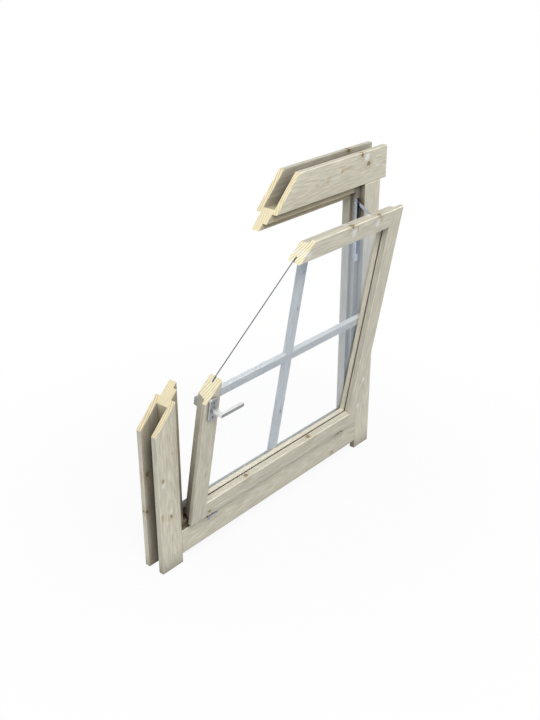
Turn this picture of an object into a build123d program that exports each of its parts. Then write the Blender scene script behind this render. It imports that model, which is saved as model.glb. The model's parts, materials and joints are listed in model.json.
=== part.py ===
from build123d import *
import math
import os

# Sectioned show piece of a bottom hung wooden window for a log wall. The upper left corner is
# sawn away at 45 degrees, so that the sections of frame, casings, sash and glass can be seen.
# Millimetres, +X to the right seen from the room, -Y towards the room, +Z up. The origin is the
# middle of the sill rail's underside, which sits on the wall.

# Frame that lines the opening in the wall
WALL_THICKNESS = 44.0
FRAME_WIDTH = 935.0
FRAME_HEIGHT = 923.0
MEMBER_WIDTH = 56.0
SILL_HEIGHT = 62.0
REBATE_WIDTH = 14.0
HEAD_REBATE_HEIGHT = 19.0
SILL_REBATE_HEIGHT = 30.5
REBATE_DEPTH = 15.0

# Casing boards on both faces of the wall
CASING_WIDTH = 85.0
CASING_THICKNESS = 19.0
CASING_EDGE_RADIUS = 2.5
SIDE_OVERLAP = 17.5
HEAD_OVERLAP = 12.0
SILL_OVERLAP = 13.0
HEAD_CASING_HEIGHT = 109.0
HEAD_OVERHANG = 32.5
SIDE_DROP = 32.0

# The saw cut runs up to the right at 45 degrees and crosses the middle line at this height
CUT_HEIGHT = 914.5

# Sash, with the pose that it has at rest
SASH_CLEARANCE = 6.0
CLOSING_GAP = 7.0
SASH_THICKNESS = 46.0
LIP_THICKNESS = 15.0
LIP_OVERHANG = 9.0
SASH_FACE_WIDTH = 61.0
SASH_EDGE_RADIUS = 4.0
SASH_TAPER = 6.0
TILT_ANGLE = 9.9

# Glazing
GLASS_SETBACK = 24.0
GASKET_THICKNESS = 8.0
GLASS_THICKNESS = 4.0
GLAZING_REBATE = 14.0
GLASS_EDGE_GAP = 2.0

# Muntins on the sash's outside face
MUNTIN_WIDTH = 27.0
MUNTIN_DEPTH = 20.0
MUNTIN_CHAMFER = 1.0
MUNTIN_CLEARANCE = 5.5

# Hinges under the sash's lip
HINGE_INSET = 79.5
HINGE_SETBACK = 2.0
HINGE_DROP = 9.0
BARREL_RADIUS = 2.4
BARREL_LENGTH = 34.0
FRAME_KNUCKLE_LENGTH = 8.0
KNUCKLE_GAP = 0.5
PIN_RADIUS = 1.3
PIN_CLEARANCE = 0.05
HINGE_LEAF_LENGTH = 8.0
HINGE_LEAF_DEPTH = 6.0
HINGE_POST_RADIUS = 3.2
HINGE_POST_DROP = 10.0
HINGE_SHANK_DROP = 3.0
HINGE_SHANK_RADIUS = 2.5

# Handle on the left stile
HANDLE_INSET = 26.0
HANDLE_BELOW_CUT = 48.0
PLATE_WIDTH = 30.0
PLATE_HEIGHT = 76.0
PLATE_THICKNESS = 8.0
PLATE_CORNER = 8.0
PLATE_EDGE_RADIUS = 2.0
SCREW_SPACING = 49.0
SCREW_HEAD_RADIUS = 3.6
SCREW_HEAD_DEPTH = 2.0
COLLAR_RADIUS = 9.5
COLLAR_THICKNESS = 3.0
LEVER_GAP = 0.3
LEVER_REACH = 38.0
LEVER_HEIGHT = 12.0
NECK_WIDTH = 12.0
GRIP_LENGTH = 96.0
GRIP_DEPTH = 10.0
LEVER_EDGE_RADIUS = 1.5

# Stay between right jamb and sash
CHANNEL_WIDTH = 16.0
CHANNEL_DEPTH = 12.0
CHANNEL_INLET = 7.0
CHANNEL_WALL = 1.5
CHANNEL_BELOW_HEAD = 61.0
CHANNEL_LENGTH = 217.0
END_BLOCK_HEIGHT = 25.0
ARM_THICKNESS = 2.5
ARM_WIDTH = 10.0
ARM_LIP_GAP = 5.0
ARM_SLOT_WIDTH = 5.0
PIVOT_BELOW_TOP = 12.0
RIVET_RADIUS = 2.5
RIVET_HEAD_RADIUS = 5.5
RIVET_HEAD_THICKNESS = 2.0
STUD_BELOW_PIVOT = 79.0
STUD_SETBACK = 26.0
STUD_RADIUS = 3.0
STUD_ARM_GAP = 0.4

# Planes and edges that follow from the sizes above
WALL_FRONT = -WALL_THICKNESS / 2
WALL_BACK = WALL_THICKNESS / 2
HALF_FRAME = FRAME_WIDTH / 2
CASING_INNER_EDGE = HALF_FRAME - SIDE_OVERLAP
CASING_OUTER_EDGE = CASING_INNER_EDGE + CASING_WIDTH
BOTTOM_CASING_TOP = SILL_OVERLAP
BOTTOM_CASING_FOOT = SILL_OVERLAP - CASING_WIDTH
SIDE_CASING_FOOT = BOTTOM_CASING_FOOT - SIDE_DROP
HEAD_CASING_FOOT = FRAME_HEIGHT - HEAD_OVERLAP
JAMB_INNER_EDGE = HALF_FRAME - MEMBER_WIDTH
HEAD_UNDERSIDE = FRAME_HEIGHT - MEMBER_WIDTH
REBATE_HALF_WIDTH = JAMB_INNER_EDGE + REBATE_WIDTH
REBATE_BOTTOM = SILL_HEIGHT - SILL_REBATE_HEIGHT
REBATE_TOP = HEAD_UNDERSIDE + HEAD_REBATE_HEIGHT
REBATE_FLOOR = WALL_FRONT + REBATE_DEPTH
BODY_HALF_WIDTH = REBATE_HALF_WIDTH - SASH_CLEARANCE
BODY_BOTTOM = REBATE_BOTTOM + SASH_CLEARANCE
BODY_TOP = REBATE_TOP - SASH_CLEARANCE
LIP_HALF_WIDTH = BODY_HALF_WIDTH + LIP_OVERHANG
LIP_BOTTOM = BODY_BOTTOM - LIP_OVERHANG
LIP_TOP = BODY_TOP + LIP_OVERHANG
SASH_BACK = REBATE_FLOOR - CLOSING_GAP
SASH_FRONT = SASH_BACK - SASH_THICKNESS
LIP_BACK = SASH_FRONT + LIP_THICKNESS
SIGHT_HALF_WIDTH = LIP_HALF_WIDTH - SASH_FACE_WIDTH
SIGHT_BOTTOM = LIP_BOTTOM + SASH_FACE_WIDTH
SIGHT_TOP = LIP_TOP - SASH_FACE_WIDTH
GASKET_FRONT = SASH_FRONT + GLASS_SETBACK
BEAD_FRONT = GASKET_FRONT + GASKET_THICKNESS
HINGE_X = LIP_HALF_WIDTH - HINGE_INSET
HINGE_Y = SASH_FRONT + HINGE_SETBACK
HINGE_Z = LIP_BOTTOM - HINGE_DROP
CHANNEL_LEFT = REBATE_HALF_WIDTH
CHANNEL_RIGHT = CHANNEL_LEFT + CHANNEL_WIDTH
CHANNEL_BACK = WALL_FRONT + CHANNEL_INLET
CHANNEL_FRONT = CHANNEL_BACK - CHANNEL_DEPTH
CHANNEL_TOP = FRAME_HEIGHT - CHANNEL_BELOW_HEAD
CHANNEL_BOTTOM = CHANNEL_TOP - CHANNEL_LENGTH


def block(x0, x1, y0, y1, z0, z1):
    """Box between two corners."""
    middle = ((x0 + x1) / 2, (y0 + y1) / 2, (z0 + z1) / 2)
    return Pos(*middle) * Box(abs(x1 - x0), abs(y1 - y0), abs(z1 - z0))


def opening(half_width, bottom, top, y0, y1):
    """Box centred on the middle line, such as a frame's opening."""
    return block(-half_width, half_width, y0, y1, bottom, top)


def rod(start, end, radius):
    """Round bar between two points."""
    start, end = Vector(*start), Vector(*end)
    axis = Plane(origin=start, z_dir=end - start)
    return extrude(axis * Circle(radius), (end - start).length)


def tilted(shape):
    """Swing a piece of the closed sash to the pose that it has at rest."""
    return shape.rotate(Axis((0, HINGE_Y, HINGE_Z), (1, 0, 0)), TILT_ANGLE)


def tilted_point(y, z):
    """Where a point of the closed sash is once the sash has swung open."""
    angle = math.radians(TILT_ANGLE)
    dy, dz = y - HINGE_Y, z - HINGE_Z
    turned_y = HINGE_Y + dy * math.cos(angle) - dz * math.sin(angle)
    turned_z = HINGE_Z + dy * math.sin(angle) + dz * math.cos(angle)
    return turned_y, turned_z


def sawn_corner():
    """Everything above and to the left of the 45 degree saw cut."""
    reach = 2 * (FRAME_WIDTH + FRAME_HEIGHT)
    with_cut = Plane(origin=(0, 0, CUT_HEIGHT), x_dir=(1, 0, 1), z_dir=(0, -1, 0))
    half = with_cut * Pos(0, reach / 2) * Rectangle(reach, reach)
    return extrude(half, reach / 2, both=True)


CORNER = sawn_corner()


def frame_members():
    """Rebated frame of two jambs that run through, a head rail and a sill rail."""
    ring = opening(HALF_FRAME, 0, FRAME_HEIGHT, WALL_FRONT, WALL_BACK)
    ring -= opening(JAMB_INNER_EDGE, SILL_HEIGHT, HEAD_UNDERSIDE, WALL_FRONT - 1, WALL_BACK + 1)
    ring -= opening(REBATE_HALF_WIDTH, REBATE_BOTTOM, REBATE_TOP, WALL_FRONT - 1, REBATE_FLOOR)
    middle = FRAME_HEIGHT / 2
    jamb_zone = block(JAMB_INNER_EDGE, HALF_FRAME, WALL_FRONT, WALL_BACK, 0, FRAME_HEIGHT)
    head_zone = opening(JAMB_INNER_EDGE, middle, FRAME_HEIGHT, WALL_FRONT, WALL_BACK)
    sill_zone = opening(JAMB_INNER_EDGE, 0, middle, WALL_FRONT, WALL_BACK)
    return {
        "left_jamb": (ring & mirror(jamb_zone, Plane.YZ)) - CORNER,
        "right_jamb": (ring & jamb_zone) - channel_space(),
        "head_rail": (ring & head_zone) - CORNER,
        "sill_rail": ring & sill_zone,
    }


def casing_board(x0, x1, z0, z1):
    """Board on the room side, with its front edges eased."""
    face = WALL_FRONT - CASING_THICKNESS
    board = block(x0, x1, face, WALL_FRONT, z0, z1)
    return fillet(board.faces().sort_by(Axis.Y)[0].edges(), CASING_EDGE_RADIUS)


def casings():
    """Casing boards of the room side, and their mirror images on the outside of the wall."""
    head_half = CASING_OUTER_EDGE + HEAD_OVERHANG
    head_top = HEAD_CASING_FOOT + HEAD_CASING_HEIGHT
    side = casing_board(CASING_INNER_EDGE, CASING_OUTER_EDGE, SIDE_CASING_FOOT, HEAD_CASING_FOOT)
    boards = {
        "left_casing": mirror(side, Plane.YZ) - CORNER,
        "right_casing": side,
        "head_casing": casing_board(-head_half, head_half, HEAD_CASING_FOOT, head_top) - CORNER,
        "bottom_casing": casing_board(
            -CASING_INNER_EDGE, CASING_INNER_EDGE, BOTTOM_CASING_FOOT, BOTTOM_CASING_TOP
        ),
    }
    pieces = {}
    for name, board in boards.items():
        pieces["inner_" + name] = board
        pieces["outer_" + name] = mirror(board, Plane.XZ)
    return pieces


def sash_members():
    """Lipped sash frame: two stiles that run through, and two rails between them."""
    lip = opening(LIP_HALF_WIDTH, LIP_BOTTOM, LIP_TOP, SASH_FRONT, LIP_BACK)
    lip = fillet(lip.faces().sort_by(Axis.Y)[0].edges(), SASH_EDGE_RADIUS)
    body_depth = SASH_BACK - LIP_BACK
    face = Plane(origin=(0, LIP_BACK, (BODY_BOTTOM + BODY_TOP) / 2), x_dir=(1, 0, 0), z_dir=(0, 1, 0))
    outline = face * Rectangle(2 * BODY_HALF_WIDTH, BODY_TOP - BODY_BOTTOM)
    body = extrude(outline, body_depth, taper=math.degrees(math.atan2(SASH_TAPER, body_depth)))
    sight = opening(SIGHT_HALF_WIDTH, SIGHT_BOTTOM, SIGHT_TOP, SASH_FRONT - 1, SASH_BACK + 1)
    glazing = glazing_space(GASKET_FRONT, SASH_BACK + 1)
    ring = lip + body - sight - glazing
    front_edges = ring.faces().sort_by(Axis.Y)[0].inner_wires()[0].edges()
    ring = fillet(front_edges, SASH_EDGE_RADIUS)
    middle = (LIP_BOTTOM + LIP_TOP) / 2
    stile_zone = block(SIGHT_HALF_WIDTH, LIP_HALF_WIDTH, SASH_FRONT, SASH_BACK, LIP_BOTTOM, LIP_TOP)
    top_zone = opening(SIGHT_HALF_WIDTH, middle, LIP_TOP, SASH_FRONT, SASH_BACK)
    bottom_zone = opening(SIGHT_HALF_WIDTH, LIP_BOTTOM, middle, SASH_FRONT, SASH_BACK)
    return {
        "left_stile": (ring & mirror(stile_zone, Plane.YZ)) - CORNER,
        "right_stile": ring & stile_zone,
        "top_rail": (ring & top_zone) - CORNER,
        "bottom_rail": ring & bottom_zone,
    }


def glazing_space(y0, y1, inset=0.0):
    """Space that the sash's rebate leaves for glass, gasket and beads."""
    grown = GLAZING_REBATE - inset
    return opening(SIGHT_HALF_WIDTH + grown, SIGHT_BOTTOM - grown, SIGHT_TOP + grown, y0, y1)


def glazing():
    """Single pane in a black gasket, held from outside by four beads."""
    sight = opening(SIGHT_HALF_WIDTH, SIGHT_BOTTOM, SIGHT_TOP, SASH_FRONT, SASH_BACK + 1)
    glass_front = GASKET_FRONT + (GASKET_THICKNESS - GLASS_THICKNESS) / 2
    pane = glazing_space(glass_front, glass_front + GLASS_THICKNESS, GLASS_EDGE_GAP) - CORNER
    gasket = glazing_space(GASKET_FRONT, BEAD_FRONT) - CORNER - sight - pane
    beads = glazing_space(BEAD_FRONT, SASH_BACK) - sight
    bead_half = SIGHT_HALF_WIDTH + GLAZING_REBATE
    middle = (SIGHT_BOTTOM + SIGHT_TOP) / 2
    side_zone = block(SIGHT_HALF_WIDTH, bead_half, BEAD_FRONT, SASH_BACK, LIP_BOTTOM, LIP_TOP)
    top_zone = opening(SIGHT_HALF_WIDTH, middle, LIP_TOP, BEAD_FRONT, SASH_BACK)
    bottom_zone = opening(SIGHT_HALF_WIDTH, LIP_BOTTOM, middle, BEAD_FRONT, SASH_BACK)
    return {
        "glass_pane": pane,
        "glazing_gasket": gasket,
        "left_bead": (beads & mirror(side_zone, Plane.YZ)) - CORNER,
        "right_bead": beads & side_zone,
        "top_bead": (beads & top_zone) - CORNER,
        "bottom_bead": beads & bottom_zone,
    }


def muntins():
    """Cross of two muntins on the sash's outside face, halved together where they meet."""
    back = SASH_BACK + MUNTIN_DEPTH
    half_way = SASH_BACK + MUNTIN_DEPTH / 2
    half = MUNTIN_WIDTH / 2
    middle = (SIGHT_BOTTOM + SIGHT_TOP) / 2
    reach = JAMB_INNER_EDGE - MUNTIN_CLEARANCE
    foot = SILL_HEIGHT + MUNTIN_CLEARANCE
    upright = block(-half, half, SASH_BACK, back, foot, 2 * middle - foot)
    upright = chamfer(upright.edges().filter_by(Axis.Z), MUNTIN_CHAMFER)
    cross = block(-reach, reach, SASH_BACK, back, middle - half, middle + half)
    cross = chamfer(cross.edges().filter_by(Axis.X), MUNTIN_CHAMFER)
    cross -= block(-half, half, half_way, back, middle - half, middle + half)
    return {"vertical_muntin": upright - cross, "horizontal_muntin": cross}


def hinges():
    """Two drill in hinges: a barrel under the lip turns on the pin of a post whose shank is in the sill."""
    knuckle_start = -HINGE_X - FRAME_KNUCKLE_LENGTH / 2
    knuckle_end = knuckle_start + FRAME_KNUCKLE_LENGTH
    barrel_start = knuckle_end + KNUCKLE_GAP
    barrel_end = barrel_start + BARREL_LENGTH
    leaf_start = (barrel_start + barrel_end - HINGE_LEAF_LENGTH) / 2
    leaf_end = leaf_start + HINGE_LEAF_LENGTH
    bore_radius = PIN_RADIUS + PIN_CLEARANCE
    post_foot = HINGE_Z - HINGE_POST_DROP
    shank_z = HINGE_Z - HINGE_SHANK_DROP
    frame_half = rod((knuckle_start, HINGE_Y, HINGE_Z), (knuckle_end, HINGE_Y, HINGE_Z), BARREL_RADIUS)
    frame_half += rod((-HINGE_X, HINGE_Y, post_foot), (-HINGE_X, HINGE_Y, HINGE_Z), HINGE_POST_RADIUS)
    frame_half += rod((-HINGE_X, HINGE_Y, shank_z), (-HINGE_X, WALL_FRONT, shank_z), HINGE_SHANK_RADIUS)
    frame_half += rod((knuckle_end, HINGE_Y, HINGE_Z), (barrel_end, HINGE_Y, HINGE_Z), PIN_RADIUS)
    sash_half = rod((barrel_start, HINGE_Y, HINGE_Z), (barrel_end, HINGE_Y, HINGE_Z), BARREL_RADIUS)
    sash_half += block(leaf_start, leaf_end, HINGE_Y, HINGE_Y + HINGE_LEAF_DEPTH, HINGE_Z, LIP_BOTTOM)
    sash_half -= rod((barrel_start, HINGE_Y, HINGE_Z), (barrel_end, HINGE_Y, HINGE_Z), bore_radius)
    frame_side = {
        "left_frame_hinge": frame_half,
        "right_frame_hinge": mirror(frame_half, Plane.YZ),
    }
    sash_side = {
        "left_sash_hinge": sash_half,
        "right_sash_hinge": mirror(sash_half, Plane.YZ),
    }
    return frame_side, sash_side


def handle():
    """Screwed plate on the left stile, and the L shaped lever, which points right while the sash is open."""
    centre = -LIP_HALF_WIDTH + HANDLE_INSET
    height = CUT_HEIGHT + centre - HANDLE_BELOW_CUT
    plate_front = SASH_FRONT - PLATE_THICKNESS
    collar_front = plate_front - COLLAR_THICKNESS
    face = Plane(origin=(centre, SASH_FRONT, height), x_dir=(1, 0, 0), z_dir=(0, -1, 0))
    plate = extrude(face * RectangleRounded(PLATE_WIDTH, PLATE_HEIGHT, PLATE_CORNER), PLATE_THICKNESS)
    plate = fillet(plate.faces().sort_by(Axis.Y)[0].edges(), PLATE_EDGE_RADIUS)
    plate += rod((centre, plate_front, height), (centre, collar_front, height), COLLAR_RADIUS)
    for screw_z in (height - SCREW_SPACING / 2, height + SCREW_SPACING / 2):
        recess_floor = plate_front + SCREW_HEAD_DEPTH
        plate -= rod((centre, recess_floor, screw_z), (centre, plate_front - 1, screw_z), SCREW_HEAD_RADIUS)

    grip_front = plate_front - LEVER_REACH
    left = centre - NECK_WIDTH / 2
    low, high = height - LEVER_HEIGHT / 2, height + LEVER_HEIGHT / 2
    lever = block(left, left + NECK_WIDTH, grip_front, collar_front - LEVER_GAP, low, high)
    lever += block(left, left + GRIP_LENGTH, grip_front, grip_front + GRIP_DEPTH, low, high)
    grip_middle = grip_front + GRIP_DEPTH / 2
    outer_edges = lever.edges().filter_by(lambda edge: edge.bounding_box().min.Y < grip_middle)
    lever = fillet(outer_edges, LEVER_EDGE_RADIUS)
    return {"handle_plate": plate}, {"handle_lever": lever}


def channel_space():
    """Room that the stay's channel takes up, partly let into the right jamb's face."""
    return block(CHANNEL_LEFT, CHANNEL_RIGHT, CHANNEL_FRONT, CHANNEL_BACK, CHANNEL_BOTTOM, CHANNEL_TOP)


def stay(right_stile):
    """Channel in the right jamb, and the slotted arm that swings out of it to a stud on the sash."""
    inner_left = CHANNEL_LEFT + CHANNEL_WALL
    inner_right = CHANNEL_RIGHT - CHANNEL_WALL
    floor = CHANNEL_BACK - CHANNEL_WALL
    end_block_top = CHANNEL_BOTTOM + END_BLOCK_HEIGHT
    channel = channel_space()
    channel -= block(inner_left, inner_right, CHANNEL_FRONT - 1, floor, CHANNEL_BOTTOM - 1, CHANNEL_TOP + 1)
    end_block = block(inner_left, inner_right, CHANNEL_FRONT, floor, CHANNEL_BOTTOM, end_block_top)
    pivot_y = CHANNEL_FRONT + ARM_WIDTH / 2
    pivot_z = CHANNEL_TOP - PIVOT_BELOW_TOP
    head_start = CHANNEL_LEFT - RIVET_HEAD_THICKNESS
    rivet = rod((head_start, pivot_y, pivot_z), (CHANNEL_LEFT, pivot_y, pivot_z), RIVET_HEAD_RADIUS)
    rivet += rod((CHANNEL_LEFT, pivot_y, pivot_z), (CHANNEL_RIGHT, pivot_y, pivot_z), RIVET_RADIUS)
    channel -= rivet

    stud_y = SASH_FRONT + STUD_SETBACK
    stud_z = pivot_z - STUD_BELOW_PIVOT
    open_y, open_z = tilted_point(stud_y, stud_z)
    arm_length = math.hypot(open_y - pivot_y, open_z - pivot_z)
    closed_distance = math.hypot(stud_y - pivot_y, stud_z - pivot_z)
    arm_x = LIP_HALF_WIDTH + ARM_LIP_GAP
    along = Plane(
        origin=(arm_x, pivot_y, pivot_z),
        x_dir=(0, open_y - pivot_y, open_z - pivot_z),
        z_dir=(1, 0, 0),
    )
    outline = Pos(arm_length / 2, 0) * SlotCenterToCenter(arm_length, ARM_WIDTH)
    outline -= Circle(RIVET_RADIUS + PIN_CLEARANCE)
    slot_length = arm_length - closed_distance
    outline -= Pos(arm_length - slot_length / 2, 0) * SlotCenterToCenter(slot_length, ARM_SLOT_WIDTH)
    arm = extrude(along * outline, ARM_THICKNESS)

    stud_start = BODY_HALF_WIDTH - SASH_TAPER
    stud = rod((stud_start, stud_y, stud_z), (arm_x - STUD_ARM_GAP, stud_y, stud_z), STUD_RADIUS)
    on_jamb = {"stay_channel": channel, "stay_end_block": end_block, "stay_pivot": rivet}
    return on_jamb, {"stay_stud": stud - right_stile}, {"stay_arm": arm}


def build():
    """All pieces by name, in the pose that the window has at rest."""
    fixed = frame_members() | casings()
    members = sash_members()
    swinging = members | glazing() | muntins()
    frame_hinges, sash_hinges = hinges()
    plate, lever = handle()
    on_jamb, on_sash, arm = stay(members["right_stile"])
    fixed |= frame_hinges | on_jamb | arm
    swinging |= sash_hinges | plate | lever | on_sash
    return fixed | {name: tilted(piece) for name, piece in swinging.items()}


os.makedirs("parts", exist_ok=True)
for name, piece in build().items():
    export_step(piece, f"parts/{name}.step")
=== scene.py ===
import bpy
import json
import math
from mathutils import Matrix, Vector


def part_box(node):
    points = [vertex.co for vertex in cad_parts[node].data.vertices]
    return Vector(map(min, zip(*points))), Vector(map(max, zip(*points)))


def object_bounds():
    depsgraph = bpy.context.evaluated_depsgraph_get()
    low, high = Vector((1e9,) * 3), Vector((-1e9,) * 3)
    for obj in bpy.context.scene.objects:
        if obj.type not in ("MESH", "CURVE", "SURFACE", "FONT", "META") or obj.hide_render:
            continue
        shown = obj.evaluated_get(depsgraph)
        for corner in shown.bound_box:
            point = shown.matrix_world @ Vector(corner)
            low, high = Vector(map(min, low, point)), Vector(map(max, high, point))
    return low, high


# Looks of a sectioned wooden window with a tilting sash: planed spruce with growth rings and knots,
# coated glass in a black gasket, satin and zinc-plated fittings. Metres, and linear colours.

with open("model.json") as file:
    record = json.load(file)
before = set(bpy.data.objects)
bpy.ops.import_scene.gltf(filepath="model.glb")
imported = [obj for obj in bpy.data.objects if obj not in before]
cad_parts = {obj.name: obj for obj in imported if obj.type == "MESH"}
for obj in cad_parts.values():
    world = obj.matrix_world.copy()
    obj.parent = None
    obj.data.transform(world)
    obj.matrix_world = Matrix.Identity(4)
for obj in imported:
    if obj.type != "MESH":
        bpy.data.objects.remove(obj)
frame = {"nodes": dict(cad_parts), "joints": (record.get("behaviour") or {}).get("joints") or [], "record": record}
CAD_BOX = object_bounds()
NODES = frame["nodes"]
JOINTS = {joint["name"]: joint for joint in frame["joints"]}
SLOTS = {part["node"]: part["material_slot"] for part in frame["record"]["subparts"]}

# Sash at rest, and the turn that swings it back upright
SASH_PIECES = frame["record"]["behaviour"]["bodies"]["sash"]
TILT = math.radians(-JOINTS["sash_tilt"]["range_deg"][0])
HINGE = Vector(JOINTS["sash_tilt"]["pos_m"])
UPRIGHT_TURN = Matrix.Rotation(-TILT, 3, "X")
UPRIGHT_SHIFT = HINGE - UPRIGHT_TURN @ HINGE

# Camera, solved from the straight edges of the casings
CAMERA_PLACE = Vector((-2.1196, -1.8310, 1.7931))
CAMERA_DIRECTION = Vector((0.68113, 0.58479, -0.44055))
CAMERA_LENS = 48.24
SENSOR_SIZE = 36.0

# Light: one large lamp high on the left, a pale sky, and white for rays with no matt bounce
LAMP_PLACE = Vector((-1.4, -2.1, 3.5))
LAMP_TARGET = Vector((0.0, 0.0, 0.45))
LAMP_SIZE = 2.0
LAMP_POWER = 96.0
SKY_COLOUR = (0.95, 0.97, 1.0)
SKY_STRENGTH = 0.45
WHITE = (1.0, 1.0, 1.0)
WHITE_STRENGTH = 1.0
NO_BOUNCE = 0.5

# Floor: white to the eye, a little less so near the object, where its shadow falls
FLOOR_HALF = 30.0
FLOOR_DROP = 0.001
FLOOR_COLOUR = (0.85, 0.85, 0.85)
FLOOR_FADE = (0.3, 1.5)
FLOOR_WHITE_SHARE = (0.92, 1.0)

# Boards by the way they stand, the painted shade and reflection in their colour, and the way they were sawn
UPRIGHT = (
    "left_jamb", "right_jamb", "left_stile", "right_stile", "left_bead", "right_bead", "vertical_muntin",
    "inner_left_casing", "inner_right_casing", "outer_left_casing", "outer_right_casing",
)
# The left jamb and the head rail are browned by painted warm shade of the recess they lie in
RECESS_SHADED = ("left_jamb", "head_rail")
# The muntins and the sill are coloured grey-blue: painted reflection of the glass and painted shade on the wood
# behind it
PAINTED_BEHIND_GLASS = ("vertical_muntin", "horizontal_muntin", "sill_rail")
FLAMED = ("inner_left_casing", "inner_head_casing", "inner_right_casing", "inner_bottom_casing")

# Wood colours
EARLYWOOD = (0.680, 0.645, 0.530)
LATEWOOD = (0.540, 0.485, 0.350)
# Wood colours browned by painted warm shade, for the boards in the recess
RECESS_SHADE_EARLYWOOD = (0.680, 0.600, 0.430)
RECESS_SHADE_LATEWOOD = (0.540, 0.450, 0.285)
# Grey-blue wood colours: painted reflection and shade behind the glass
PAINTED_BEHIND_GLASS_EARLYWOOD = (0.600, 0.630, 0.638)
PAINTED_BEHIND_GLASS_LATEWOOD = (0.490, 0.516, 0.532)
SASH_END_EARLYWOOD = (0.940, 0.880, 0.630)
FRAME_END_EARLYWOOD = (0.950, 0.845, 0.570)
END_LATEWOOD = (0.600, 0.425, 0.185)
KNOT_CORE = (0.315, 0.225, 0.080)
KNOT_RIM = (0.140, 0.092, 0.038)
# Grey knots under the painted reflection and shade behind the glass
PAINTED_BEHIND_GLASS_KNOT = (0.150, 0.155, 0.165)
PALE_GRAIN = (0.860, 0.875, 0.860)
RESIN = (0.360, 0.245, 0.095)
# Painted shade in the sill's left corner
PAINTED_CORNER_SHADE = (0.060, 0.050, 0.036)
# Painted shade on the end of the horizontal muntin, which lies outside the glass
MUNTIN_END_PAINTED_SHADE = (0.400, 0.370, 0.300)
# Colour of the painted shade in grooves and rebates
DEEP_SHADE = (0.160, 0.120, 0.070)

# Growth rings on the faces and on the sawn ends: a ring darkens from its start to its darkest part
RING_SPACING = 0.0034
RING_WAVE = 0.012
RING_START = 0.1
RING_STRENGTH = (0.1, 0.6)
END_RING_SPACING = 0.0082
END_RING_WAVE = 0.006
END_RING_START = 0.5
END_RING_STRENGTH = (0.5, 1.0)
# Weaker rings on the sawn ends of the boards with the painted recess shade
RECESS_SHADE_END_RING = 0.45
RING_DARKEST = 0.88
RING_FADE = (0.9, 1.0)

# Pith of the tree beside each board. Flat-sawn boards lie over it, and the taper draws flames on them.
PITH_FAR = 0.24
PITH_NEAR = 0.05
FLAME_PITH = 0.08
FLAME_TAPER = 0.045

# Noise along the grain: share of its scale lengthwise, scale, detail, roughness
WARP = (0.16, 9.0, 2.0, 0.5)
FIBRE = (0.03, 900.0, 3.0, 0.6)
STREAK = (0.07, 210.0, 3.0, 0.6)
CLOUD = (0.28, 34.0, 2.0, 0.5)
SEED_SHIFT = (1.37, 0.61, 2.11)

# Ranges in which a noise rises, and the levels between which it moves the colour
USUAL_NOISE = (0.3, 0.7)
WIDE_NOISE = (0.25, 0.75)
LOW_NOISE = (0.3, 0.6)
STREAK_LEVEL = (0.86, 1.11)
FIBRE_LEVEL = (0.92, 1.06)
CLOUD_LEVEL = (0.96, 1.04)

# Faces by their direction, as ranges in which the face's share along an axis fades in
SAWN_FROM = (0.45, 0.65)
SAWN_TO = (0.75, 0.9)
EDGE_FACING = (-0.97, -0.8)
FRONT_FACING = (-0.9, -0.5)
TOP_FACING = (0.85, 0.97)
ARRIS_UPWARD = (0.15, 0.4)
ARRIS_FRONT = (-0.4, -0.15)

# Tone of single boards, partly their own and partly painted light and shade; painted shade on some edges and
# fronts, painted light on some tops, and a painted highlight on every board's upper front arris but painted shade
# on those of the muntins
# Partly each board's own tone, partly painted light and shade: darker on the boards deep in the frame, lighter on
# the beads and some casings
BOARD_TONE_AND_PAINTED_LIGHT = {
    "inner_head_casing": 1.06, "inner_right_casing": 1.08, "outer_left_casing": 1.12,
    "left_jamb": 0.90, "right_jamb": 0.77, "head_rail": 0.85, "sill_rail": 0.70,
    "left_stile": 0.90, "bottom_rail": 0.92, "top_rail": 0.97,
    "right_bead": 1.15, "bottom_bead": 1.32, "vertical_muntin": 0.86,
}
# Painted shade on the sideways edges and fronts, and painted light on the tops, of some boards
EDGE_PAINTED_SHADE = {"inner_right_casing": 0.78}
FRONT_PAINTED_SHADE = {"right_jamb": 0.56, "left_jamb": 0.85}
TOP_PAINTED_LIGHT = {"bottom_rail": 1.18, "horizontal_muntin": 1.06}
# Painted highlight on the upper front arrises, and painted shade on those of the muntins
ARRIS_PAINTED_HIGHLIGHT = 1.36
MUNTIN_ARRIS_PAINTED_SHADE = 0.68

# Painted shade in deep places: how much, from how far away, and from which openness on
SHADE_DEPTH = {
    "outer_left_casing": 0.76, "outer_head_casing": 0.6,
    "right_stile": 0.3, "left_stile": 0.9, "bottom_rail": 0.0, "top_rail": 0.4,
    "right_bead": 0.0, "bottom_bead": 0.0, "left_bead": 0.0, "top_bead": 0.0,
    "vertical_muntin": 0.0, "horizontal_muntin": 0.3,
}
FULL_SHADE_DEPTH = 1.0
SHADE_REACH = {"sill_rail": 0.25}
USUAL_SHADE_REACH = 0.09
SHADE_OPENNESS = (0.1, 0.95)
SHADE_SAMPLES = 8

# Planed surface: roughness of early and late wood, and relief of fibres and rings
WOOD_ROUGHNESS = (0.62, 0.48)
RELIEF_SHARE = 0.5
WOOD_BUMP = (0.2, 0.0006)

# Knots: distances from the middle, in radii, between which each zone fades, and how far each zone tints
KNOT_STRETCH = 0.72
KNOT_WOBBLE = 0.35
KNOT_WOBBLE_SCALE = 160.0
EDGE_KNOT_DEPTH = 0.009
CORE_FADE = (0.7, 1.25)
RIM_OUTSIDE = (1.0, 1.4)
RIM_INSIDE = (0.5, 0.9)
RIM_TINT = 0.6
HALO_FADE = (1.2, 5.0)
HALO_TINT = 0.25
HALO_BEND = 0.008

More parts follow.
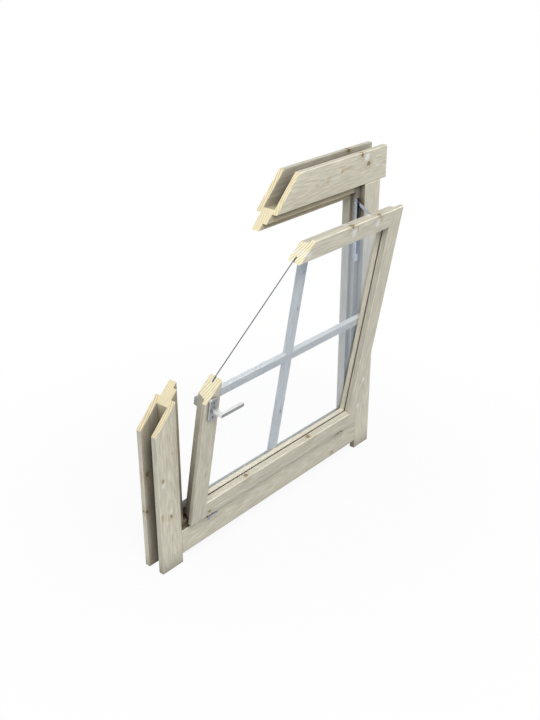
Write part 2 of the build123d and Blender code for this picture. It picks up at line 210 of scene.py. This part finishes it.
# Knots on each board: place, axis of the branch, radius, how strongly it shows
KNOTS = {
    "inner_head_casing": (
        ((0.462, 0, 0.978), "Y", 0.0060, 1.0),
        ((0.427, -0.036, 1.013), "Z", 0.0055, 1.0),
        ((0.426, 0, 1.013), "Y", 0.0050, 0.7),
        ((0.319, 0, 0.979), "Y", 0.0035, 0.5),
        ((0.244, 0, 0.962), "Y", 0.0030, 0.5),
    ),
    "outer_head_casing": (((0.435, 0, 1.015), "Y", 0.0055, 1.0),),
    "inner_left_casing": (
        ((-0.517, 0, 0.226), "Y", 0.0036, 0.9),
        ((-0.490, 0, 0.089), "Y", 0.0045, 0.9),
    ),
    "outer_left_casing": (
        ((-0.520, 0, 0.227), "Y", 0.0055, 0.8),
        ((-0.530, 0, 0.098), "Y", 0.0040, 1.0),
    ),
    "inner_bottom_casing": (((0.311, 0, -0.058), "Y", 0.0045, 0.6),),
    "bottom_rail": (
        ((-0.352, 0, 0.046), "Y", 0.0040, 1.0),
        ((-0.177, -0.048, 0.084), "Z", 0.0060, 0.9),
        ((0.145, -0.048, 0.084), "Z", 0.0070, 0.9),
    ),
    "top_rail": (
        ((0.155, -0.054, 0.887), "Z", 0.0060, 0.95),
        ((0.298, -0.054, 0.887), "Z", 0.0055, 0.9),
    ),
    "vertical_muntin": (
        ((0.0, 0, 0.761), "Y", 0.0042, 0.7),
        ((0.0, 0, 0.635), "Y", 0.0036, 0.9),
        ((0.0, 0, 0.245), "Y", 0.0042, 0.8),
    ),
}

# Soft marks on each board, among them painted shade: place, half width, half height, colour, how strongly it shows
MARKS = {
    "inner_head_casing": (
        ((0.452, 0, 1.000), 0.018, 0.022, PALE_GRAIN, 1.0),
        ((0.350, 0, 0.984), 0.042, 0.007, RESIN, 0.5),
        ((0.520, 0, 0.986), 0.028, 0.006, RESIN, 0.4),
        ((0.252, 0, 0.974), 0.022, 0.007, RESIN, 0.45),
        ((0.190, 0, 0.962), 0.012, 0.008, RESIN, 0.35),
    ),
    "inner_left_casing": (
        ((-0.526, 0, 0.100), 0.006, 0.022, RESIN, 0.75),
        ((-0.516, 0, 0.212), 0.012, 0.014, PALE_GRAIN, 0.8),
        ((-0.492, 0, 0.106), 0.013, 0.016, PALE_GRAIN, 0.6),
        ((-0.474, 0, 0.303), 0.009, 0.008, RESIN, 0.4),
    ),
    "inner_bottom_casing": (
        ((0.300, 0, -0.054), 0.012, 0.006, RESIN, 0.3),
        ((-0.260, 0, -0.040), 0.014, 0.007, RESIN, 0.25),
    ),
    # Painted shade in the dark corner at the sill's left end
    "sill_rail": (((-0.450, 0, 0.050), 0.105, 0.200, PAINTED_CORNER_SHADE, 1.0),),
    "left_stile": (
        ((-0.392, 0, 0.215), 0.008, 0.018, RESIN, 0.45),
        ((-0.388, 0, 0.250), 0.007, 0.012, RESIN, 0.3),
    ),
    "right_stile": (
        ((0.411, 0, 0.222), 0.011, 0.017, PALE_GRAIN, 1.0),
        ((0.414, 0, 0.106), 0.011, 0.017, PALE_GRAIN, 1.0),
        ((0.418, 0, 0.192), 0.005, 0.016, RESIN, 0.5),
    ),
    "top_rail": (
        ((0.166, 0, 0.866), 0.018, 0.022, PALE_GRAIN, 1.0),
        ((0.184, 0, 0.872), 0.006, 0.018, RESIN, 0.5),
        ((0.290, 0, 0.866), 0.017, 0.022, PALE_GRAIN, 1.0),
        ((0.308, 0, 0.874), 0.006, 0.014, RESIN, 0.5),
        ((-0.050, 0, 0.850), 0.024, 0.014, PALE_GRAIN, 0.6),
    ),
    "bottom_rail": (
        ((0.170, 0, 0.070), 0.020, 0.008, PALE_GRAIN, 0.5),
        ((-0.150, 0, 0.078), 0.020, 0.006, PALE_GRAIN, 0.4),
    ),
    # The muntin's end outside the glass: wood in painted shade instead of the grey-blue painted reflection
    "horizontal_muntin": (((-0.435, 0, 0.450), 0.050, 0.500, MUNTIN_END_PAINTED_SHADE, 1.0),),
}
MARK_FADE = (0.2, 1.0)
MARK_STREAK = (0.6, 1.0)

# Lip of the gasket on the sash members that show their inner side, by the axis across the member
SEALED = {"bottom_rail": "Z", "right_stile": "X"}
SEAL_COLOUR = (0.006, 0.006, 0.007)
SEAL_WIDTH = 0.0016
EDGE_BLUR = 0.0002

# Rubber of the gasket, black in front of the glass and pale behind it as painted light, each with a faint bloom
# between two colours
RUBBER_BLACK = ((0.004, 0.004, 0.005), (0.012, 0.012, 0.013))
RUBBER_PAINTED_LIGHT = ((0.90, 0.85, 0.71), (0.94, 0.89, 0.75))
RUBBER_ROUGHNESS = (0.55, 0.75)
BLOOM_SCALE = 60.0
BLOOM_DETAIL = 3.0

# Glass with a coating that mirrors bluish, and ground edges
GLASS_INDEX = 1.8
GLASS_MIRROR = (0.30, 0.62, 1.0)
GLASS_SHADE = (0.96, 0.98, 1.0)
GLASS_FLAT = (0.4, 0.6)
GLASS_BUMP = (0.02, 0.001)
RIPPLE_SCALE = 3.0
RIPPLE_DETAIL = 1.0
GROUND_COLOUR = (0.90, 0.97, 1.0)
GROUND_LEVEL = (0.16, 0.24)
GROUND_SCALE = 500.0

# Metal fittings, by material slot or by piece: name, colour, colour of the front with painted shade, roughness,
# brushing
LEVEL_BRUSH = (0.05, 1.0, 1.0)
UPRIGHT_BRUSH = (1.0, 1.0, 0.05)
METALS = {
    "satin_metal": ("satin_aluminium", (0.93, 0.93, 0.93), (0.31, 0.315, 0.33), 0.34, LEVEL_BRUSH),
    "handle_plate": ("satin_plate", (0.60, 0.60, 0.58), (0.34, 0.36, 0.38), 0.4, UPRIGHT_BRUSH),
    "zinc_metal": ("zinc_plate", (0.44, 0.47, 0.52), (0.30, 0.33, 0.38), 0.32, UPRIGHT_BRUSH),
    "right_frame_hinge": ("dull_zinc", (0.56, 0.54, 0.48), (0.46, 0.44, 0.38), 0.45, UPRIGHT_BRUSH),
    # The stay's end block has a lighter copy of the zinc, which is painted light
    "stay_end_block": ("zinc_with_painted_light", (0.72, 0.76, 0.84), (0.52, 0.57, 0.66), 0.32, UPRIGHT_BRUSH),
}
METALLIC = 0.85
# Faces turned to the front take their darker colour as painted shade
METAL_FRONT_PAINTED_SHADE = (0.6, 0.95)
METAL_BUMP = (0.08, 0.0002)
METAL_SHADE = (0.2, 1.0)
METAL_SHADE_REACH = 0.02
METAL_OPENNESS = (0.1, 0.85)
STROKE_SCALE = 700.0
STROKE_ROUGHNESS = 0.6
STROKE_SPREAD = 0.06
PATINA_SCALE = 40.0
PATINA_LEVEL = (0.86, 1.04)


class Tree:
    """Short words for making and linking the nodes of one material or of the world."""

    def __init__(self, owner, output="ShaderNodeOutputMaterial"):
        owner.use_nodes = True
        self.owner = owner
        self.nodes = owner.node_tree.nodes
        self.links = owner.node_tree.links
        self.nodes.clear()
        self.output = self.nodes.new(output)

    def add(self, kind, inputs=None, **settings):
        """Makes a node; inputs are by socket name or number, each a value or another node's socket."""
        node = self.nodes.new(kind)
        for key, value in settings.items():
            setattr(node, key, value)
        for key, value in (inputs or {}).items():
            self.set(node.inputs[key], value)
        return node

    def set(self, socket, value):
        if isinstance(value, bpy.types.NodeSocket):
            self.links.new(value, socket)
        elif socket.type == "RGBA" and len(value) == 3:
            socket.default_value = (*value, 1.0)
        else:
            socket.default_value = value

    def show(self, shader):
        self.links.new(shader.outputs[0], self.output.inputs["Surface"])

    def math(self, operation, *values):
        node = self.add("ShaderNodeMath", operation=operation)
        for socket, value in zip(node.inputs, values):
            self.set(socket, value)
        return node.outputs[0]

    def vector(self, operation, *values):
        node = self.add("ShaderNodeVectorMath", operation=operation)
        for socket, value in zip(node.inputs, values):
            self.set(socket, value)
        return node.outputs["Value" if operation in ("LENGTH", "DOT_PRODUCT") else "Vector"]

    def split(self, vector):
        """The three parts of a vector."""
        return self.add("ShaderNodeSeparateXYZ", {0: vector}).outputs

    def smooth(self, value, low, high, first=0.0, last=1.0):
        """Smooth step from first to last as value goes from low to high."""
        inputs = {"Value": value, "From Min": low, "From Max": high, "To Min": first, "To Max": last}
        return self.add("ShaderNodeMapRange", inputs, interpolation_type="SMOOTHSTEP").outputs["Result"]

    def step(self, value, edge, first=0.0, last=1.0):
        """A change from first to last at an edge, blurred just enough not to be jagged."""
        return self.smooth(value, edge - EDGE_BLUR, edge + EDGE_BLUR, first, last)

    def noise(self, place, scale, detail=2.0, roughness=0.5):
        inputs = {"Vector": place, "Scale": scale, "Detail": detail, "Roughness": roughness}
        return self.add("ShaderNodeTexNoise", inputs).outputs["Fac"]

    def largest(self, values):
        result = values[0]
        for value in values[1:]:
            result = self.math("MAXIMUM", result, value)
        return result

    def mix(self, factor, first, second, blend="MIX"):
        node = self.add("ShaderNodeMix", data_type="RGBA", blend_type=blend, clamp_factor=True)
        self.set(node.inputs[0], factor)
        self.set(node.inputs[6], first)
        self.set(node.inputs[7], second)
        return node.outputs[2]

    def shade(self, colour, level):
        """Colour times a level."""
        grey = self.add("ShaderNodeCombineColor", {0: level, 1: level, 2: level}).outputs[0]
        return self.mix(1.0, colour, grey, "MULTIPLY")

    def openness(self, reach):
        """How much of the surroundings within reach is free."""
        inputs = {"Distance": reach}
        return self.add("ShaderNodeAmbientOcclusion", inputs, samples=SHADE_SAMPLES).outputs["AO"]

    def bump(self, height, strength, distance):
        inputs = {"Height": height, "Strength": strength, "Distance": distance}
        return self.add("ShaderNodeBump", inputs).outputs["Normal"]

    def principled(self, **values):
        """A principled shader, with plain values on its own sockets."""
        inputs = {name.replace("_", " "): value for name, value in values.items()}
        return self.add("ShaderNodeBsdfPrincipled", inputs)

    def mix_shaders(self, factor, first, second):
        inputs = {0: factor, 1: first.outputs[0], 2: second.outputs[0]}
        return self.add("ShaderNodeMixShader", inputs)


def piece_space(tree, tilts):
    """Place and surface direction on a piece, with the sash swung back upright."""
    source = tree.add("ShaderNodeTexCoord")
    place = source.outputs["Object"]
    normal = source.outputs["Normal"]
    if not tilts:
        return place, normal
    turn = (-TILT, 0, 0)
    place = tree.add("ShaderNodeMapping", {"Vector": place, "Location": UPRIGHT_SHIFT, "Rotation": turn})
    normal = tree.add("ShaderNodeMapping", {"Vector": normal, "Rotation": turn})
    return place.outputs["Vector"], normal.outputs["Vector"]


def upright_range(name, axis):
    """Lowest and highest place of a sash piece along an axis, with the sash swung upright."""
    vertices = NODES[name].data.vertices
    places = [(UPRIGHT_TURN @ vertex.co + UPRIGHT_SHIFT)["XYZ".index(axis)] for vertex in vertices]
    return min(places), max(places)


class Board:
    """One wooden piece: places on it, the direction of its grain, and the noise along that grain."""

    def __init__(self, name, seed):
        self.name = name
        self.seed = seed
        self.grain = "Z" if name in UPRIGHT else "X"
        self.tilts = name in SASH_PIECES
        self.painted_behind_glass = name in PAINTED_BEHIND_GLASS
        self.tree = Tree(bpy.data.materials.new(name))
        self.place, self.normal = piece_space(self.tree, self.tilts)
        self.x, self.y, self.z = self.tree.split(self.place)
        across, self.along = (self.x, self.z) if self.grain == "Z" else (self.z, self.x)
        self.turned = self.tree.add("ShaderNodeCombineXYZ", {0: across, 1: self.y, 2: self.along}).outputs[0]
        self.shifted = self.tree.vector("ADD", self.turned, [seed * step for step in SEED_SHIFT])
        self.warp = self.noise(*WARP)
        self.fibre = self.noise(*FIBRE)
        self.streak = self.noise(*STREAK)
        self.cloud = self.noise(*CLOUD)

    def noise(self, lengthwise, scale, detail, roughness):
        place = self.tree.vector("MULTIPLY", self.shifted, (1.0, 1.0, lengthwise))
        return self.tree.noise(place, scale, detail, roughness)


def sawn_share(board):
    """One on the faces sawn at 45 degrees across the grain, and none elsewhere."""
    tree = board.tree
    end_axis = (1, 0, 0) if board.grain == "X" else (0, 0, 1)
    share = tree.math("ABSOLUTE", tree.vector("DOT_PRODUCT", board.normal, end_axis))
    return tree.math("MULTIPLY", tree.smooth(share, *SAWN_FROM), tree.smooth(share, *SAWN_TO, 1.0, 0.0))


def knot_masks(board):
    """How far each point is inside a knot, on its rim, and in the stirred grain around it."""
    if board.name not in KNOTS:
        return 0.0, 0.0, 0.0
    tree = board.tree
    wobble = tree.noise(board.place, KNOT_WOBBLE_SCALE)
    wobble = tree.smooth(wobble, *WIDE_NOISE, -KNOT_WOBBLE, KNOT_WOBBLE)
    branch_squeeze = {"Y": 0.0, "Z": 1.0 / EDGE_KNOT_DEPTH}
    cores = []
    rims = []
    halos = []
    for centre, branch, radius, strength in KNOTS[board.name]:
        squeeze = [branch_squeeze[branch] if axis == branch else 1.0 / radius for axis in "XYZ"]
        squeeze["XYZ".index(board.grain)] *= KNOT_STRETCH
        offset = tree.vector("MULTIPLY", tree.vector("SUBTRACT", board.place, centre), squeeze)
        distance = tree.math("ADD", tree.vector("LENGTH", offset), wobble)
        outer = tree.smooth(distance, *RIM_OUTSIDE, strength, 0.0)
        cores.append(tree.smooth(distance, *CORE_FADE, strength, 0.0))
        rims.append(tree.math("MULTIPLY", outer, tree.smooth(distance, *RIM_INSIDE)))
        halos.append(tree.smooth(distance, *HALO_FADE, strength, 0.0))
    return tree.largest(cores), tree.largest(rims), tree.largest(halos)


def pith_place(board):
    """Middle of the growth rings, in the board's directions across the grain."""
    low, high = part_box(board.name)
    middle = (low + high) / 2
    across = middle.x if board.grain == "Z" else middle.z
    side = 1 if board.seed % 2 else -1
    depth = 1 if board.seed % 3 else -1
    if board.name in FLAMED:
        return (across, middle.y + depth * FLAME_PITH, 0)
    return (across + side * PITH_NEAR, middle.y + depth * PITH_FAR, 0)


def ring_lines(tree, radius, spacing, start):
    """Growth rings: darker slowly towards each line, then light again at once."""
    phase = tree.math("FRACT", tree.math("DIVIDE", radius, spacing))
    darker = tree.smooth(phase, start, RING_DARKEST)
    return tree.math("MULTIPLY", darker, tree.smooth(phase, *RING_FADE, 1.0, 0.0))


def growth_rings(board, halo):
    """Rings as they show on the board's faces, and on its sawn ends."""
    tree = board.tree
    radial = tree.vector("SUBTRACT", board.turned, pith_place(board))
    radius = tree.vector("LENGTH", tree.vector("MULTIPLY", radial, (1, 1, 0)))
    face_radius = tree.math("ADD", radius, tree.math("MULTIPLY", board.warp, RING_WAVE))
    if board.name in FLAMED:
        face_radius = tree.math("ADD", face_radius, tree.math("MULTIPLY", board.along, FLAME_TAPER))
    face_radius = tree.math("ADD", face_radius, tree.math("MULTIPLY", halo, HALO_BEND))
    face_ring = ring_lines(tree, face_radius, RING_SPACING, RING_START)
    face_ring = tree.math("MULTIPLY", face_ring, tree.smooth(board.cloud, *WIDE_NOISE, *RING_STRENGTH))
    end_radius = tree.math("ADD", radius, tree.math("MULTIPLY", board.warp, END_RING_WAVE))
    end_ring = ring_lines(tree, end_radius, END_RING_SPACING, END_RING_START)
    end_ring = tree.math("MULTIPLY", end_ring, tree.smooth(board.streak, *LOW_NOISE, *END_RING_STRENGTH))
    if board.name in RECESS_SHADED:
        end_ring = tree.math("MULTIPLY", end_ring, RECESS_SHADE_END_RING)
    return face_ring, end_ring


def plain_colour(board, face_ring, end_ring, sawn):
    """Colour of the clear wood on faces and sawn ends."""
    tree = board.tree
    early, late = EARLYWOOD, LATEWOOD
    # Boards behind the glass take the grey-blue painted reflection and shade, and show no sawn ends
    if board.painted_behind_glass:
        early, late = PAINTED_BEHIND_GLASS_EARLYWOOD, PAINTED_BEHIND_GLASS_LATEWOOD
    # Painted warm shade browns the boards in the recess
    if board.name in RECESS_SHADED:
        early, late = RECESS_SHADE_EARLYWOOD, RECESS_SHADE_LATEWOOD
    face = tree.mix(face_ring, early, late)
    face = tree.shade(face, tree.smooth(board.streak, *USUAL_NOISE, *STREAK_LEVEL))
    if board.painted_behind_glass:
        return face
    end = tree.mix(end_ring, SASH_END_EARLYWOOD if board.tilts else FRAME_END_EARLYWOOD, END_LATEWOOD)
    return tree.mix(sawn, face, end)


def add_marks(board, colour):
    """Pale grain, resin and other soft marks, and painted shade in the sill's corner and on the horizontal
    muntin's end.
    """
    tree = board.tree
    for centre, half_width, half_height, tint, strength in MARKS.get(board.name, ()):
        squeeze = (1.0 / half_width, 0.0, 1.0 / half_height)
        offset = tree.vector("MULTIPLY", tree.vector("SUBTRACT", board.place, centre), squeeze)
        mark = tree.smooth(tree.vector("LENGTH", offset), *MARK_FADE, strength, 0.0)
        mark = tree.math("MULTIPLY", mark, tree.smooth(board.streak, *LOW_NOISE, *MARK_STREAK))
        colour = tree.mix(mark, colour, tint)
    return colour


def add_knots(board, colour, core, rim, halo):
    """Knots with a dark rim, in resin-tinted grain."""
    if board.name not in KNOTS:
        return colour
    tree = board.tree
    colour = tree.mix(tree.math("MULTIPLY", halo, HALO_TINT), colour, RESIN)
    # Knots behind the glass are grey, under the same painted reflection and shade
    colour = tree.mix(core, colour, PAINTED_BEHIND_GLASS_KNOT if board.painted_behind_glass else KNOT_CORE)
    return tree.mix(tree.math("MULTIPLY", rim, RIM_TINT), colour, PAINTED_BEHIND_GLASS_KNOT if board.painted_behind_glass else KNOT_RIM)


def tone_and_painted_light(board, sawn):
    """How light the board is: its fibres and own tone, painted light and shade by board and by the direction of
    its faces, and painted highlights on its arrises.
    """
    tree = board.tree
    name = board.name
    sideways, facing, upward = tree.split(board.normal)
    # Upper front arrises: a painted highlight, painted shade on the muntins
    front = tree.smooth(facing, *ARRIS_FRONT, 1.0, 0.0)
    arris = tree.math("MULTIPLY", tree.smooth(upward, *ARRIS_UPWARD), front)
    arris_painted_level = MUNTIN_ARRIS_PAINTED_SHADE if "muntin" in name else ARRIS_PAINTED_HIGHLIGHT
    factors = [
        tree.smooth(board.cloud, *USUAL_NOISE, *CLOUD_LEVEL),
        tree.smooth(sawn, 0.0, 1.0, BOARD_TONE_AND_PAINTED_LIGHT.get(name, 1.0), 1.0),
        tree.smooth(arris, 0.0, 1.0, 1.0, arris_painted_level),
    ]
    # Painted shade on sideways edges and fronts, painted light on tops
    if name in EDGE_PAINTED_SHADE:
        factors.append(tree.smooth(sideways, *EDGE_FACING, EDGE_PAINTED_SHADE[name], 1.0))
    if name in FRONT_PAINTED_SHADE:
        factors.append(tree.smooth(facing, *FRONT_FACING, FRONT_PAINTED_SHADE[name], 1.0))
    if name in TOP_PAINTED_LIGHT:
        factors.append(tree.smooth(upward, *TOP_FACING, 1.0, TOP_PAINTED_LIGHT[name]))
    level = tree.smooth(board.fibre, *USUAL_NOISE, *FIBRE_LEVEL)
    for factor in factors:
        level = tree.math("MULTIPLY", level, factor)
    return level


def add_seal(board, colour):
    """Narrow black line where the gasket's lip lies on the inner side of a sash member, before the glass."""
    if board.name not in SEALED:
        return colour
    tree = board.tree
    lip = upright_range("glazing_gasket", "Y")[0]
    middle = sum(upright_range(board.name, SEALED[board.name])) / 2
    front = tree.step(board.y, lip - SEAL_WIDTH)
    back = tree.step(board.y, lip + SEAL_WIDTH, 1.0, 0.0)
    inner = tree.step(board.z, middle) if SEALED[board.name] == "Z" else tree.step(board.x, middle, 1.0, 0.0)
    line = tree.math("MULTIPLY", tree.math("MULTIPLY", front, back), inner)
    return tree.mix(line, colour, SEAL_COLOUR)


def add_shade(board, colour):
    """Painted shade on the wood deep in grooves and rebates."""
    depth = SHADE_DEPTH.get(board.name, FULL_SHADE_DEPTH)
    if not depth:
        return colour
    tree = board.tree
    openness = tree.openness(SHADE_REACH.get(board.name, USUAL_SHADE_REACH))
    dark = tree.mix(1.0, colour, DEEP_SHADE, "MULTIPLY")
    return tree.mix(tree.smooth(openness, *SHADE_OPENNESS, depth, 0.0), colour, dark)


def spruce(name, seed):
    """Planed spruce, with rings, knots and marks of its own for each board, and painted light and shade."""
    board = Board(name, seed)
    tree = board.tree
    sawn = sawn_share(board)
    core, rim, halo = knot_masks(board)
    face_ring, end_ring = growth_rings(board, halo)
    colour = plain_colour(board, face_ring, end_ring, sawn)
    colour = add_marks(board, colour)
    colour = add_knots(board, colour, core, rim, halo)
    colour = tree.shade(colour, tone_and_painted_light(board, sawn))
    colour = add_seal(board, colour)
    colour = add_shade(board, colour)
    fibre_relief = tree.math("MULTIPLY", board.fibre, RELIEF_SHARE)
    ring_relief = tree.math("MULTIPLY", face_ring, RELIEF_SHARE)
    normal = tree.bump(tree.math("ADD", fibre_relief, ring_relief), *WOOD_BUMP)
    roughness = tree.smooth(face_ring, 0.0, 1.0, *WOOD_ROUGHNESS)
    tree.show(tree.principled(Base_Color=colour, Roughness=roughness, Normal=normal))
    return tree.owner


def glass():
    """Clear float glass with ground grey edges, which lets the lamp's light through."""
    tree = Tree(bpy.data.materials.new("clear_glass"))
    place, normal = piece_space(tree, True)
    clear = tree.principled(
        Base_Color=WHITE,
        Roughness=0.0,
        IOR=GLASS_INDEX,
        Transmission_Weight=1.0,
        Specular_Tint=GLASS_MIRROR,
        Normal=tree.bump(tree.noise(place, RIPPLE_SCALE, RIPPLE_DETAIL), *GLASS_BUMP),
    )
    frost = tree.smooth(tree.noise(place, GROUND_SCALE), *USUAL_NOISE, *GROUND_LEVEL)
    ground = tree.add("ShaderNodeBsdfDiffuse", {"Color": tree.shade(GROUND_COLOUR, frost)})
    flat = tree.math("ABSOLUTE", tree.vector("DOT_PRODUCT", normal, (0, 1, 0)))
    pane = tree.mix_shaders(tree.smooth(flat, *GLASS_FLAT), ground, clear)
    through = tree.add("ShaderNodeBsdfTransparent", {"Color": GLASS_SHADE})
    shadow = tree.add("ShaderNodeLightPath").outputs["Is Shadow Ray"]
    tree.show(tree.mix_shaders(shadow, pane, through))
    return tree.owner


def gasket():
    """Rubber, black in front of the glass, and pale behind it as painted light for the bright strip seen there,
    with a faint bloom.
    """
    tree = Tree(bpy.data.materials.new("black_rubber"))
    place, _ = piece_space(tree, True)
    bloom = tree.noise(place, BLOOM_SCALE, BLOOM_DETAIL)
    glass_middle = sum(upright_range("glass_pane", "Y")) / 2
    behind = tree.step(tree.split(place)["Y"], glass_middle)
    colour = tree.mix(behind, tree.mix(bloom, *RUBBER_BLACK), tree.mix(bloom, *RUBBER_PAINTED_LIGHT))
    roughness = tree.smooth(bloom, *USUAL_NOISE, *RUBBER_ROUGHNESS)
    tree.show(tree.principled(Base_Color=colour, Roughness=roughness))
    return tree.owner


def metal(name, colour, front, roughness, brush):
    """Metal with a fine brushed grain along one axis, a front darkened by painted shade, and painted shade in its
    corners.
    """
    tree = Tree(bpy.data.materials.new(name))
    place, normal = piece_space(tree, False)
    strokes = tree.noise(tree.vector("MULTIPLY", place, brush), STROKE_SCALE, roughness=STROKE_ROUGHNESS)
    patina = tree.noise(place, PATINA_SCALE)
    # Front faces darkened as painted shade
    facing = tree.smooth(tree.vector("DOT_PRODUCT", normal, (0, -1, 0)), *METAL_FRONT_PAINTED_SHADE)
    base = tree.mix(facing, colour, front)
    base = tree.shade(base, tree.smooth(patina, *USUAL_NOISE, *PATINA_LEVEL))
    # Painted shade in corners and hollows
    base = tree.shade(base, tree.smooth(tree.openness(METAL_SHADE_REACH), *METAL_OPENNESS, *METAL_SHADE))
    spread = (roughness - STROKE_SPREAD, roughness + STROKE_SPREAD)
    shader = tree.principled(
        Base_Color=base,
        Metallic=METALLIC,
        Roughness=tree.smooth(strokes, *USUAL_NOISE, *spread),
        Normal=tree.bump(strokes, *METAL_BUMP),
    )
    tree.show(shader)
    return tree.owner


def dress_pieces():
    """Gives every piece its finish: its own, or its slot's."""
    finishes = {key: metal(*values) for key, values in METALS.items()}
    finishes["right_sash_hinge"] = finishes["right_frame_hinge"]
    finishes["glass"] = glass()
    finishes["gasket"] = gasket()
    for seed, (node, slot) in enumerate(SLOTS.items()):
        if slot == "spruce":
            material = spruce(node, seed)
        else:
            material = finishes.get(node, finishes[slot])
        mesh = NODES[node].data
        mesh.materials.clear()
        mesh.materials.append(material)


def seen_directly(tree):
    """One for rays from the camera, also by way of metal or glass, and none for light on a matt surface."""
    path = tree.add("ShaderNodeLightPath").outputs
    seen = tree.largest([path["Is Camera Ray"], path["Is Glossy Ray"], path["Is Transmission Ray"]])
    unscattered = tree.math("LESS_THAN", path["Diffuse Depth"], NO_BOUNCE)
    return tree.math("MULTIPLY", seen, unscattered)


def floor_material():
    """Pale floor that is white to the camera, and still takes the object's shadow."""
    tree = Tree(bpy.data.materials.new("pale_floor"))
    place, _ = piece_space(tree, False)
    away = tree.vector("LENGTH", tree.vector("MULTIPLY", place, (1, 1, 0)))
    share = tree.math("MULTIPLY", seen_directly(tree), tree.smooth(away, *FLOOR_FADE, *FLOOR_WHITE_SHARE))
    matt = tree.add("ShaderNodeBsdfDiffuse", {"Color": FLOOR_COLOUR})
    white = tree.add("ShaderNodeEmission", {"Color": WHITE, "Strength": WHITE_STRENGTH})
    tree.show(tree.mix_shaders(share, matt, white))
    return tree.owner


def make_floor():
    level = CAD_BOX[0].z - FLOOR_DROP
    corners = [(x * FLOOR_HALF, y * FLOOR_HALF, level) for x, y in ((-1, -1), (1, -1), (1, 1), (-1, 1))]
    mesh = bpy.data.meshes.new("floor")
    mesh.from_pydata(corners, [], [(0, 1, 2, 3)])
    mesh.materials.append(floor_material())
    floor = bpy.data.objects.new("floor", mesh)
    bpy.context.scene.collection.objects.link(floor)


def make_world():
    """Soft light from all round, and plain white behind the object."""
    world = bpy.data.worlds.new("studio")
    bpy.context.scene.world = world
    tree = Tree(world, "ShaderNodeOutputWorld")
    sky = tree.add("ShaderNodeBackground", {"Color": SKY_COLOUR, "Strength": SKY_STRENGTH})
    white = tree.add("ShaderNodeBackground", {"Color": WHITE, "Strength": WHITE_STRENGTH})
    tree.show(tree.mix_shaders(seen_directly(tree), sky, white))


def aimed(direction):
    """Rotation of a lamp or camera that looks along a direction."""
    return direction.to_track_quat("-Z", "Y").to_euler()


def make_lamp():
    light = bpy.data.lights.new("key", "AREA")
    light.shape = "SQUARE"
    light.size = LAMP_SIZE
    light.energy = LAMP_POWER
    lamp = bpy.data.objects.new("key", light)
    lamp.location = LAMP_PLACE
    lamp.rotation_euler = aimed(LAMP_TARGET - LAMP_PLACE)
    bpy.context.scene.collection.objects.link(lamp)


def make_camera():
    data = bpy.data.cameras.new("camera")
    data.sensor_width = SENSOR_SIZE
    data.lens = CAMERA_LENS
    camera = bpy.data.objects.new("camera", data)
    camera.location = CAMERA_PLACE
    camera.rotation_euler = aimed(CAMERA_DIRECTION)
    bpy.context.scene.collection.objects.link(camera)
    bpy.context.scene.camera = camera


dress_pieces()
make_floor()
make_world()
make_lamp()
make_camera()
bpy.context.scene.view_settings.view_transform = "Standard"
